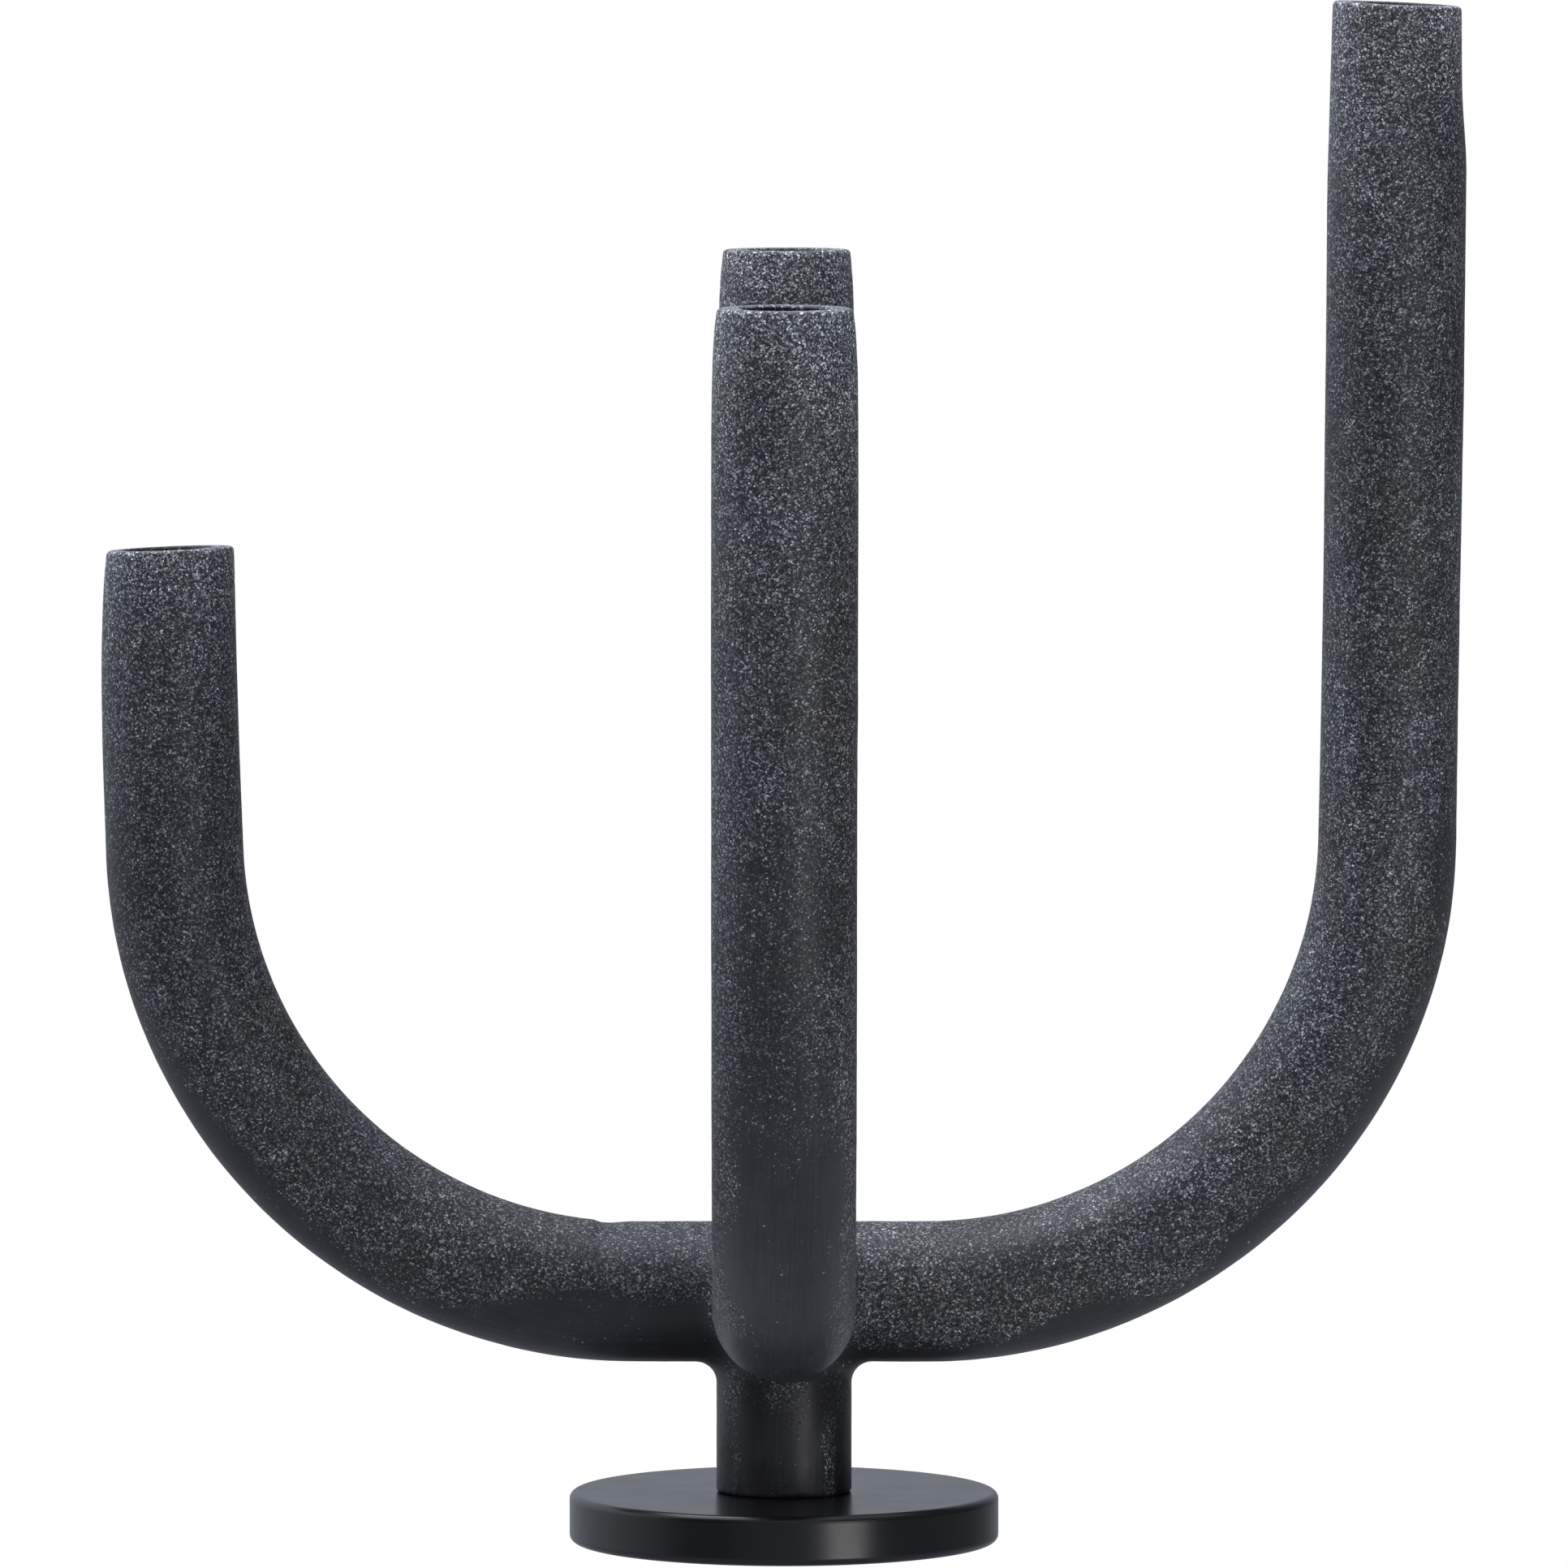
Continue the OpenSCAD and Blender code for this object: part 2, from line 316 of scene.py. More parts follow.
def dents(points, centres, sizes, depths):
    """How deep small dents with soft edges go at each point."""
    total = np.zeros(len(points))
    for centre, size, depth in zip(centres, sizes, depths):
        away = ((points - centre) ** 2).sum(axis=1)
        total = np.maximum(total, depth * np.exp(-away / (2 * size * size)))
    return total


# ---------------------------------------------------------------- one arm's mesh

def arm_rings(arm):
    """Distance along, radius and kind of each ring, from the joint over the rim to the floor."""
    side_top = arm.length - RIM_OUTER_R
    fine_start = side_top - FINE_REACH
    coarse = np.linspace(0, fine_start, round(fine_start / RING_GAP), endpoint=False)
    fine = np.linspace(fine_start, side_top, round(FINE_REACH / FINE_RING_GAP))
    outside = np.concatenate([coarse, fine])
    turn = np.linspace(0, math.pi / 2, EDGE_RINGS + 1)[1:]
    bore_edge_r = arm.socket_r + RIM_INNER_R
    rim_r = arm.radius(np.array([arm.length]))[0]
    face = np.linspace(0, 1, FACE_RINGS + 2)[1:-1]
    floor_along = arm.length - RIM_INNER_R - arm.wall_length
    wall = np.linspace(arm.length - RIM_INNER_R, floor_along, WALL_RINGS + 1)[1:]
    floor = np.linspace(1, 0, FLOOR_RINGS + 2)[1:-1]
    along = np.concatenate([
        outside,
        side_top + RIM_OUTER_R * np.sin(turn),
        np.full(len(face), arm.length),
        arm.length - RIM_INNER_R * (1 - np.cos(turn)),
        wall,
        np.full(len(floor), floor_along),
    ])
    # Outside the bore a ring's radius still loses the narrowing, so it is kept apart here
    skin = np.concatenate([
        arm.radius(outside),
        rim_r - RIM_OUTER_R * (1 - np.cos(turn)),
        rim_r - RIM_OUTER_R - face * (rim_r - RIM_OUTER_R - bore_edge_r),
    ])
    bore = np.concatenate([
        bore_edge_r - RIM_INNER_R * np.sin(turn),
        np.full(len(wall), arm.socket_r),
        floor * arm.socket_r,
    ])
    share = np.concatenate([np.ones(len(outside) + len(turn)), 1 - face, np.zeros(len(bore))])
    return along, np.concatenate([skin, bore]), share


def rim_damage(arm, points, gap, seed):
    """Depth of the small chips and dents that the arm has, most of them near its rim."""
    random = np.random.default_rng(seed)
    count = 46
    count_near_rim = 26
    near_rim = np.arange(count) < count_near_rim
    along = np.where(
        near_rim,
        arm.length - RIM_OUTER_R - 24 * MM * random.random(count) ** 2,
        random.random(count) * (arm.length - 30 * MM),
    )
    angle = 2 * math.pi * random.random(count)
    size = (0.45 + 0.9 * random.random(count) ** 2) * MM
    depth = (0.10 + 0.25 * random.random(count)) * MM
    middle, outer = arm.centre(along)
    radial = np.cos(angle)[:, None] * outer + np.sin(angle)[:, None] * arm.side
    surface = middle + arm.off_true(along, outer) + radial * arm.radius(along)[:, None]
    found = dents(points, surface, size, depth)
    chips = np.maximum(noise(points, 2.4 * MM, seed + 5) - 0.25, 0) * 0.35 * MM
    return found + chips * np.exp(-gap / (1.4 * MM))


def rim_drop(arm, along, radius, angle):
    """The rim's face was cut a little out of square, and is lowest where it leans to."""
    rim_weight = smooth(16 * MM, 0, arm.length - along)
    outwards, sideways = arm.rim_slope
    lean = outwards * np.cos(angle) + sideways * np.sin(angle)
    drop = abs(outwards) + abs(sideways) + lean[None, :] * radius[:, None] / arm.tube_r
    return drop * arm.tube_r * rim_weight[:, None]


def make_arm(arm, seed):
    """The arm as rings over its outside, its rim and its socket, with the rod's channel cut."""
    along, radius, share = arm_rings(arm)
    angle = np.linspace(0, 2 * math.pi, SEGMENTS, endpoint=False)
    outer_share = (1 + np.cos(angle)) / 2
    gap = np.maximum(arm.length - RIM_OUTER_R - along, 0)
    shape = (len(along), SEGMENTS)
    loss = np.broadcast_to(arm.narrowing(gap[:, None], outer_share[None, :]), shape)
    loss = loss * share[:, None]
    middle, outer = arm.centre(along)
    middle = middle + arm.off_true(along, outer)
    upward = arm.along_direction(outer)
    radial = (
        np.cos(angle)[None, :, None] * outer[:, None]
        + np.sin(angle)[None, :, None] * arm.side
    )
    nominal = middle[:, None] + (radius[:, None] - loss)[:, :, None] * radial
    flat = nominal.reshape(-1, 3)
    drop = rim_drop(arm, along, radius, angle)
    outside = share[:, None] > 0.999
    rough = wear(flat).reshape(shape)
    damage = rim_damage(arm, flat, np.repeat(gap, SEGMENTS), seed).reshape(shape)
    push = np.where(outside, rough - damage, 0)
    inside = (share[:, None] < 0.001) & (radius[:, None] > arm.socket_r * 0.98)
    bore_noise = 0.07 * MM * noise(flat, 2.2 * MM, 9).reshape(shape)
    push = push + np.where(inside, bore_noise + 0.07 * MM, 0)
    sink = np.where(outside | inside, 0, 0.5 * np.abs(rough + MEAN_WEAR) + 0.6 * damage)
    placed = nominal + push[:, :, None] * radial - (drop + sink)[:, :, None] * upward[:, None]
    placed += seam_step(arm, along, angle)[:, :, None] * radial
    rings = len(along)
    vertices = np.concatenate([placed.reshape(-1, 3), placed[-1].mean(axis=0)[None]])
    last = (rings - 1) * SEGMENTS
    centre = rings * SEGMENTS
    floor = [[last + i, last + (i + 1) % SEGMENTS, centre] for i in range(SEGMENTS)]
    faces = [list(range(SEGMENTS))[::-1]] + ring_faces(rings, SEGMENTS) + floor
    piece = new_piece(arm.name + "_stone", vertices, faces)
    face_outwards(piece)
    carve(piece, rod_channel(arm))
    return piece


def seam_step(arm, along, angle):
    """The left arm's joint was filed flat on top, which leaves a soft corner just past it."""
    if arm.name != "left_arm":
        return np.zeros((len(along), len(angle)))
    band = smooth(0, 8.5 * MM, along) * (1 - smooth(9.5 * MM, 13 * MM, along))
    top = np.clip(-np.cos(angle), 0, 1) ** 2
    return -0.6 * MM * band[:, None] * top[None, :]


def rod_channel(arm):
    """Cutter for the channel that the reinforcing rod is cast into."""
    end = arm.rod_end
    along = np.linspace(0, end, round(end / (5 * MM)))
    along = np.concatenate([[-1 * MM], along])
    middle, outer = arm.centre(along)
    return tube("channel", middle, outer, arm.side, ROD_R, HOLE_SEGMENTS)


# ---------------------------------------------------------------- the hub and stem

def run_together(a, b, fillet):
    """Two signed distances joined, with a fillet in the corner between the shapes."""
    rest = np.maximum(fillet, np.minimum(a, b))
    return rest - np.hypot(np.maximum(fillet - a, 0), np.maximum(fillet - b, 0))


def hub_distance(points):
    """Signed distance to the four stubs and the stem, run together with fillets."""
    x, y, z = points.T
    side_tube = np.hypot(y, z - ARM_Z) - (SIDE_TUBE_R - FUSE_STEP - SKIN_INSET)
    depth_tube = np.hypot(x, z - ARM_Z) - (DEPTH_TUBE_R - FUSE_STEP - SKIN_INSET)
    beside = np.hypot(x, y) - (STEM_R - FOOT_EDGE_R)
    beyond = np.maximum(BASE_TOP_Z + FOOT_EDGE_R - z, z - ARM_Z)
    corner = np.hypot(np.maximum(beside, 0), np.maximum(beyond, 0))
    stem = corner + np.minimum(np.maximum(beside, beyond), 0) - FOOT_EDGE_R
    tubes = run_together(side_tube, depth_tube, BLEND_R)
    return run_together(tubes, stem, BLEND_R)


def slope(distance, points):
    """Direction in which a signed distance grows fastest."""
    step = 0.01 * MM
    rise = [distance(points + step * axis) - distance(points - step * axis) for axis in np.eye(3)]
    rise = np.stack(rise, axis=1)
    return rise / np.linalg.norm(rise, axis=1)[:, None]


def settle(distance, points):
    """Moves points onto the surface where the distance is zero."""
    for _ in range(4):
        points = points - distance(points)[:, None] * slope(distance, points)
    return points


def even_out(points, quads):
    """Moves each point to the middle of its neighbours along the quads' sides."""
    ends = np.concatenate([quads[:, [0, 1]], quads[:, [1, 2]], quads[:, [2, 3]], quads[:, [3, 0]]])
    total = np.zeros_like(points)
    count = np.zeros(len(points))
    for a, b in (ends.T, ends.T[::-1]):
        np.add.at(total, a, points[b])
        np.add.at(count, a, 1)
    return total / count[:, None]


def surface_net(distance, low, high, step):
    """Points and quads of the surface where a signed distance is zero, within a box."""
    ticks = [np.arange(a, b + step, step) for a, b in zip(low, high)]
    grid = np.stack(np.meshgrid(*ticks, indexing="ij"), axis=-1)
    shape = grid.shape[:3]
    inside = (distance(grid.reshape(-1, 3)) < 0).reshape(shape)
    cells = np.zeros([n - 1 for n in shape], int)
    for i, j, k in np.ndindex(2, 2, 2):
        cells += inside[i:shape[0] - 1 + i, j:shape[1] - 1 + j, k:shape[2] - 1 + k]
    crossed = (cells > 0) & (cells < 8)
    number = np.full(crossed.shape, -1)
    number[crossed] = np.arange(crossed.sum())
    points = grid[:-1, :-1, :-1][crossed] + step / 2
    quads = []
    for axis in range(3):
        ahead = np.roll(inside, -1, axis)
        i, j, k = np.nonzero(inside != ahead)
        edge = np.stack([i, j, k], axis=1)
        across = [a for a in range(3) if a != axis]
        inner = np.array(shape) - 2
        kept = edge[:, axis] <= inner[axis]
        for a in across:
            kept &= (edge[:, a] >= 1) & (edge[:, a] <= inner[a])
        edge = edge[kept]
        around = []
        for da, db in ((0, 0), (1, 0), (1, 1), (0, 1)):
            cell = edge.copy()
            cell[:, across[0]] -= da
            cell[:, across[1]] -= db
            around.append(number[tuple(cell.T)])
        quads.append(np.stack(around, axis=1))
    return points, np.concatenate(quads)


def slice_ends(piece):
    """Cuts the four stubs off flat at the joint faces and closes the cuts."""
    bm = bmesh.new()
    bm.from_mesh(piece.data)
    for arm in ARMS:
        everything = bm.verts[:] + bm.edges[:] + bm.faces[:]
        bmesh.ops.bisect_plane(
            bm, geom=everything, plane_co=Vector(arm.out * arm.joint), plane_no=Vector(arm.out),
            clear_outer=True, dist=CUT_TOLERANCE,
        )
        rim = [
            edge for edge in bm.edges if edge.is_boundary
            and abs(edge.verts[0].co @ Vector(arm.out) - arm.joint) < CUT_TOLERANCE
        ]
        bmesh.ops.holes_fill(bm, edges=rim, sides=0)
    bmesh.ops.recalc_face_normals(bm, faces=bm.faces)
    bm.to_mesh(piece.data)
    bm.free()


def make_hub():
    """Stubs and stem as one surface, with the rods', the stud's and the block's room cut out."""
    reach = max(arm.joint for arm in ARMS) + 3 * HUB_GRID
    low = (-reach, -reach, BASE_TOP_Z - 2.5 * HUB_GRID)
    high = (reach, reach, STEM_BOX[1].z + 2 * HUB_GRID)
    points, quads = surface_net(hub_distance, low, high, HUB_GRID)
    points = settle(hub_distance, points)
    for _ in range(3):
        points = settle(hub_distance, even_out(points, quads))
    above_foot = smooth(BASE_TOP_Z, BASE_TOP_Z + FOOT_EDGE_R, points[:, 2])
    chips = np.maximum(noise(points, 2.6 * MM, 31) - 0.2, 0) * 0.5 * MM
    chips *= np.exp(-(points[:, 2] - BASE_TOP_Z) / (1.5 * MM))
    push = (wear(points) - chips) * above_foot
    points = points + push[:, None] * slope(hub_distance, points)
    piece = new_piece("hub_stem_stone", points, quads.tolist())
    slice_ends(piece)
    for arm in ARMS:
        ends = np.array([0, arm.joint + 1 * MM])[:, None] * arm.out + ARM_Z * UP
        across = np.tile(arm.side, (2, 1))
        carve(piece, tube("channel", ends, across, UP, ROD_R + FIT_GAP, HOLE_SEGMENTS))
    carve(piece, stud_hole())
    carve(piece, core_cavity())
    return piece


def stud_hole():
    """Cutter for the stud's hole, up the stem to the middle of the hub."""
    stud_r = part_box("stem_stud")[1].x
    ends = np.array([[0, 0, BASE_TOP_Z - 1 * MM], [0, 0, ARM_Z]])
    across = np.tile([1.0, 0, 0], (2, 1))
    return tube("stud_hole", ends, across, np.array([0, 1.0, 0]), stud_r + FIT_GAP, HOLE_SEGMENTS)


def core_cavity():
    """Cutter for the square core block, with its upright edges taken off."""
    low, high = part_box("core_block")
    side = high.x
    near = side - 1 * MM
    outline = [(side, -near), (side, near), (near, side), (-near, side)]
    outline += [(-x, -y) for x, y in outline]
    vertices = [(x, y, z) for z in (low.z, high.z) for x, y in outline]
    caps = [list(range(8))[::-1], list(range(8, 16))]
    return new_piece("core_cavity", vertices, ring_faces(2, 8) + caps)


# ---------------------------------------------------------------- what the surface carries

def mould_skin(arm, place):
    """How much of the dark mould skin is left at points of the straightened arm, from 0 to 1.

    Sanding laid the pale aggregate bare nearly everywhere but on the outside of the bend, and
    left the left arm's skin on round its whole lower half beside the hub.
    """
    along = place[:, 2]
    outwards = place[:, 0] / arm.tube_r
    ragged = 0.12 * noise(place / [1, 1, 4], 6 * MM, 11) + 0.2 * noise(place, 24 * MM, 12)
    patches = 30 * MM * noise(place / [1, 1, 2.5], 22 * MM, 13)
    on_bend = 1 - smooth(-75 * MM, 45 * MM, along - arm.bend_length + patches)
    edge = 0.65
    if arm.name == "left_arm":
        edge = 0.65 - 0.8 * (1 - smooth(10 * MM, 60 * MM, along))
    left_on = smooth(edge - 0.25, edge + 0.2, outwards + ragged) * (0.3 + 0.7 * on_bend)
    blots = smooth(0.2, 0.75, noise(place / [1, 1, 2.2], 19 * MM, 14))
    return np.maximum(left_on, 0.55 * blots)


def mottle_and_painted_shade(arm, place):
    """Share of the light that the arm's surface sends back: random mottled tone for smudges,
    painted shade inside the bore, and painted shade over the whole left arm.
    """
    mottle = 1 + 0.22 * noise(place / [1, 1, 2.5], 13 * MM, 15)
    mottle += 0.16 * noise(place / [1, 1, 1.6], 30 * MM, 16)
    depth = arm.length - place[:, 2]
    from_axis = np.hypot(place[:, 0] - arm.drift, place[:, 1] - arm.sway)
    # Painted shade inside the bore: the colour drops to under a fifth just below the rim's lip
    in_shaded_bore = (from_axis < arm.socket_r + RIM_INNER_R) & (depth < arm.wall_length + 2 * MM)
    bore = np.where(in_shaded_bore, 0.18 + 0.82 * smooth(0.8 * MM, 0.15 * MM, depth), 1)
    whole = 1.05
    # Painted shade: the whole left arm is given a darker colour than the other arms
    if arm.name == "left_arm":
        whole = 0.88
    return mottle * bore * whole


def note_surface(piece, arm_of_point):
    """Writes what the stone material needs to know at each point of a piece."""
    mesh = piece.data
    points = np.zeros(len(mesh.vertices) * 3)
    mesh.vertices.foreach_get("co", points)
    points = points.reshape(-1, 3)
    laid_bare = np.zeros(len(points))
    tip = np.zeros(len(points))
    streaky = np.zeros(len(points))
    tone_and_painted_shade = np.ones(len(points))
    straight = np.zeros((len(points), 3))
    which = arm_of_point(points)
    for i, arm in enumerate(ARMS):
        mine = which == i
        place = arm.unbend(points[mine])
        laid_bare[mine] = 1 - mould_skin(arm, place)
        tip[mine] = np.exp(-(arm.length - place[:, 2]) / (22 * MM))
        streaky[mine] = smooth(0, 18 * MM, place[:, 2])
        # Colour scale: random tone, with painted shade inside the bores and over the left arm
        tone_and_painted_shade[mine] = mottle_and_painted_shade(arm, place)
        straight[mine] = place + [0, 0, i * 1.0]
    low = np.hypot(points[:, 0], points[:, 1]) < STEM_R + BLEND_R + 1 * MM
    on_stem = np.where(low, 1 - smooth(ARM_Z - 24 * MM, ARM_Z - 15 * MM, points[:, 2]), 0)
    drips = noise(points / [1, 1, 7], 5 * MM, 21) + 0.7 * noise(points, 9 * MM, 22)
    stem_bare = np.clip(0.3 + 0.6 * drips, 0.0, 0.8)
    laid_bare += (stem_bare - laid_bare) * on_stem
    stem_pale = np.clip(0.56 + 0.95 * noise(points / [1, 1, 5], 6 * MM, 23), 0.1, 1.15)
    tone_and_painted_shade += (stem_pale - tone_and_painted_shade) * on_stem
    streaky = np.maximum(streaky, on_stem)
    straight = np.where(on_stem[:, None] > 0, points, straight)
    layers = {"laid_bare": laid_bare, "tip": tip, "streaky": streaky, "tone_and_painted_shade": tone_and_painted_shade}
    for name, values in layers.items():
        layer = mesh.attributes.new(name, "FLOAT", "POINT")
        layer.data.foreach_set("value", values.astype(np.float32))
    layer = mesh.attributes.new("straight", "FLOAT_VECTOR", "POINT")
    layer.data.foreach_set("vector", straight.astype(np.float32).ravel())


def nearest_arm(points):
    """For each point of the hub, the number of the arm whose stub it is on."""
    reach = np.stack([points @ arm.out for arm in ARMS], axis=1)
    return reach.argmax(axis=1)


# ---------------------------------------------------------------- materials

class Shader:
    """Short calls for nodes. A value is a number, a colour or another node's output."""

    def __init__(self, owner):
        owner.use_nodes = True
        self.nodes = owner.node_tree.nodes
        self.links = owner.node_tree.links

    def put(self, socket, value):
        if isinstance(value, bpy.types.NodeSocket):
            self.links.new(value, socket)
        else:
            socket.default_value = value

    def node(self, kind, inputs, **settings):
        made = self.nodes.new("ShaderNode" + kind)
        for name, value in settings.items():
            setattr(made, name, value)
        for name, value in inputs.items():
            self.put(made.inputs[name], value)
        return made

    def calculate(self, operation, a, b=0.0):
        return self.node("Math", {0: a, 1: b}, operation=operation).outputs[0]

    def add(self, a, b):
        return self.calculate("ADD", a, b)

    def times(self, a, b):
        return self.calculate("MULTIPLY", a, b)

    def less(self, a, b):
        return self.calculate("SUBTRACT", a, b)

    def attribute(self, name, output="Fac"):
        return self.node("Attribute", {}, attribute_name=name).outputs[output]

    def place(self):
        return self.node("TexCoord", {}).outputs["Object"]

    def vectors(self, operation, a, b):
        return self.node("VectorMath", {0: a, 1: b}, operation=operation).outputs[0]

    def scaled(self, vector, factors):
        return self.vectors("MULTIPLY", vector, factors)

    def noise(self, vector, size, detail=2.0, rough=0.5):
        inputs = {"Vector": vector, "Scale": 1 / size, "Detail": detail, "Roughness": rough}
        return self.node("TexNoise", inputs).outputs["Fac"]

    def cells(self, vector, size):
        """Grains of about the given size: distance from the middle, and three random numbers."""
        made = self.node("TexVoronoi", {"Vector": vector, "Scale": 1 / size})
        parts = self.node("SeparateColor", {0: made.outputs["Color"]})
        return made.outputs["Distance"], *parts.outputs

    def step(self, value, low, high, to_low=0.0, to_high=1.0):
        inputs = {0: value, 1: low, 2: high, 3: to_low, 4: to_high}
        made = self.node("MapRange", inputs, interpolation_type="SMOOTHSTEP")
        return made.outputs[0]

    def curve(self, value, stops):
        """A value looked up in straight stretches between (from, to) stops."""
        made = self.node("ValToRGB", {0: value})
        ramp = made.color_ramp
        while len(ramp.elements) < len(stops):
            ramp.elements.new(0.5)
        for element, (position, level) in zip(ramp.elements, stops):
            element.position = position
            element.color = (level, level, level, 1)
        return made.outputs[0]

    def mix(self, factor, a, b):
        made = self.node("Mix", {0: factor}, data_type="RGBA")
        self.put(made.inputs[6], a)
        self.put(made.inputs[7], b)
        return made.outputs[2]

    def shade(self, colour, level):
        """A colour times a level."""
        made = self.node("VectorMath", {0: colour, "Scale": level}, operation="SCALE")
        return made.outputs[0]

    def bump(self, height, distance, after=None):
        inputs = {"Height": height, "Distance": distance, "Strength": 1.0}
        if after is not None:
            inputs["Normal"] = after
        return self.node("Bump", inputs).outputs[0]


def new_material(name, viewport_colour):
    material = bpy.data.materials.new(name)
    material.diffuse_color = (*viewport_colour, 1)
    shader = Shader(material)
    return material, shader, shader.nodes["Principled BSDF"]


def finish_surface(shader, surface, **inputs):
    for name, value in inputs.items():
        shader.put(surface.inputs[name.replace("_", " ")], value)


BARE_COOL = (0.108, 0.113, 0.129, 1)
BARE_WARM = (0.116, 0.112, 0.112, 1)
SKIN_COOL = (0.034, 0.036, 0.044, 1)
SKIN_WARM = (0.033, 0.032, 0.034, 1)


def grains(s, place, bare):
    """Grains of two sizes, each with its own tone, that show where the surface is bare enough.

    Returns the tone, the level of light, how much a grain shows, and a random number for its hue.
    """
    wobble = s.node("TexNoise", {"Vector": place, "Scale": 1 / (0.7 * MM), "Detail": 1.0})
    centred = s.vectors("SUBTRACT", wobble.outputs["Color"], (0.5, 0.5, 0.5))
    shifted = s.vectors("ADD", place, s.scaled(centred, (0.3 * MM,) * 3))
    _, tone, rank, hue = s.cells(shifted, 0.44 * MM)
    _, fine_tone, fine_rank, _ = s.cells(shifted, 0.28 * MM)
    tone_level = s.curve(tone, [
        (0.0, 0.03), (0.38, 0.05), (0.55, 0.12), (0.75, 0.22), (0.9, 0.45), (0.97, 0.8), (1.0, 1.0)
    ])
    fine_level = s.curve(fine_tone, [(0.0, 0.2), (0.5, 0.4), (0.85, 0.8), (1.0, 1.0)])
    level = s.times(s.times(tone_level, fine_level), 8.5)
    shown = s.step(s.less(s.times(bare, 1.25), rank), 0.0, 0.18)
    fine_shown = s.step(s.less(s.times(bare, 1.2), fine_rank), 0.0, 0.2)
    shown = s.calculate("MAXIMUM", shown, s.times(fine_shown, 0.6))
    return tone_level, level, shown, hue


def flecks(s, place, bare):
    """Sparse pale flecks, more of them where the surface is bare."""
    fleck_away, fleck_tone, fleck_rank, _ = s.cells(place, 1.5 * MM)
    fleck_size = s.step(fleck_tone, 0.0, 1.0, 0.10, 0.30)
    fleck = s.step(s.less(fleck_size, fleck_away), 0.0, 0.06)
    fleck_wanted = s.step(s.less(s.add(s.times(bare, 0.30), 0.02), fleck_rank), 0.0, 0.02)
    return s.times(fleck, fleck_wanted)


def shaded_pinholes(s, place, tip):
    """Small holes, mostly near the rims, with painted shade inside them."""
    pin_away, _, pin_rank, _ = s.cells(place, 3.2 * MM)
    pin_wanted = s.step(s.less(s.add(s.times(tip, 0.45), 0.03), pin_rank), 0.0, 0.02)
    return s.times(s.step(pin_away, 0.07, 0.11, 1.0, 0.0), pin_wanted)


def stone_material():
    """Charcoal cast stone: dark skin, and pale grains of many tones where it is laid bare."""
    material, s, surface = new_material("charcoal_cast_stone", (0.1, 0.105, 0.12))
    place = s.place()
    straight = s.attribute("straight", "Vector")
    tip = s.attribute("tip")
    streaky = s.attribute("streaky")

    broad = s.noise(place, 26 * MM, 3.0)
    patch = s.noise(place, 7 * MM, 3.0, 0.6)
    lengthways = s.scaled(straight, (1, 1, 0.09))
    streak = s.noise(lengthways, 2.2 * MM, 3.0, 0.6)
    brushed = s.noise(s.scaled(straight, (1, 1, 0.03)), 0.5 * MM, 2.0, 0.6)

    bare = s.attribute("laid_bare")
    bare = s.add(bare, s.times(s.less(broad, 0.5), 0.5))
    bare = s.add(bare, s.times(s.times(s.less(streak, 0.5), 0.7), streaky))
    bare = s.calculate("MINIMUM", s.calculate("MAXIMUM", s.add(bare, s.times(tip, 0.6)), 0), 1)

    tone_level, level, shown, hue = grains(s, place, bare)
    fleck = flecks(s, place, bare)
    shaded_pinhole = shaded_pinholes(s, place, tip)

    cool = s.step(s.add(s.times(broad, 0.75), s.times(hue, 0.25)), 0.36, 0.62)
    bare_colour = s.mix(cool, BARE_WARM, BARE_COOL)
    skin_colour = s.mix(cool, SKIN_WARM, SKIN_COOL)
    paler = s.add(s.times(tip, 1.8), s.step(patch, 0.25, 0.75, 0.78, 1.34))
    bare_colour = s.shade(bare_colour, s.times(level, paler))
    rubbed = s.step(brushed, 0.3, 0.7, 0.80, 1.25)
    smudged = s.step(patch, 0.3, 0.7, 0.88, 1.14)
    skin_colour = s.shade(skin_colour, s.times(rubbed, smudged))
    colour = s.mix(shown, skin_colour, bare_colour)
    colour = s.mix(s.times(fleck, 0.85), colour, (0.42, 0.44, 0.48, 1))
    # Painted shade inside the pinholes: near-black colour where they are
    colour = s.mix(shaded_pinhole, colour, (0.008, 0.008, 0.009, 1))
    # Colour scaled by random tone and by painted shade inside the bores and over the left arm
    colour = s.shade(colour, s.attribute("tone_and_painted_shade"))

    rough = s.step(shown, 0.0, 1.0, 0.42, 0.55)
    rough = s.add(rough, s.times(s.less(patch, 0.5), 0.12))
    height = s.add(s.times(s.times(tone_level, shown), 0.6), s.times(brushed, 0.12))
    height = s.less(height, s.times(shaded_pinhole, 3.0))
    normal = s.bump(height, 0.06 * MM)
    finish_surface(s, surface, Base_Color=colour, Roughness=rough, Normal=normal)
    surface.inputs["IOR"].default_value = 1.5
    surface.inputs["Specular IOR Level"].default_value = 0.45
    return material


def black_steel_material():
    """Satin black powder coat with a very fine orange peel."""
    material, s, surface = new_material("satin_black_powder_coat", (0.013, 0.013, 0.015))
    place = s.place()
    peel = s.noise(place, 0.45 * MM, 2.0)
    cloud = s.noise(place, 14 * MM, 3.0)
    speck_away, _, speck_rank, _ = s.cells(place, 2.5 * MM)
    speck = s.times(s.step(speck_away, 0.02, 0.05, 1.0, 0.0), s.step(speck_rank, 0.9, 0.92))
    colour = s.mix(cloud, (0.0068, 0.0066, 0.0066, 1), (0.0088, 0.0086, 0.0087, 1))
    colour = s.mix(s.times(speck, 0.5), colour, (0.03, 0.03, 0.032, 1))
    rough = s.step(cloud, 0.25, 0.75, 0.23, 0.27)
    normal = s.bump(peel, 0.0025 * MM)
    finish_surface(s, surface, Base_Color=colour, Roughness=rough, Normal=normal)
    surface.inputs["IOR"].default_value = 1.5
    return material


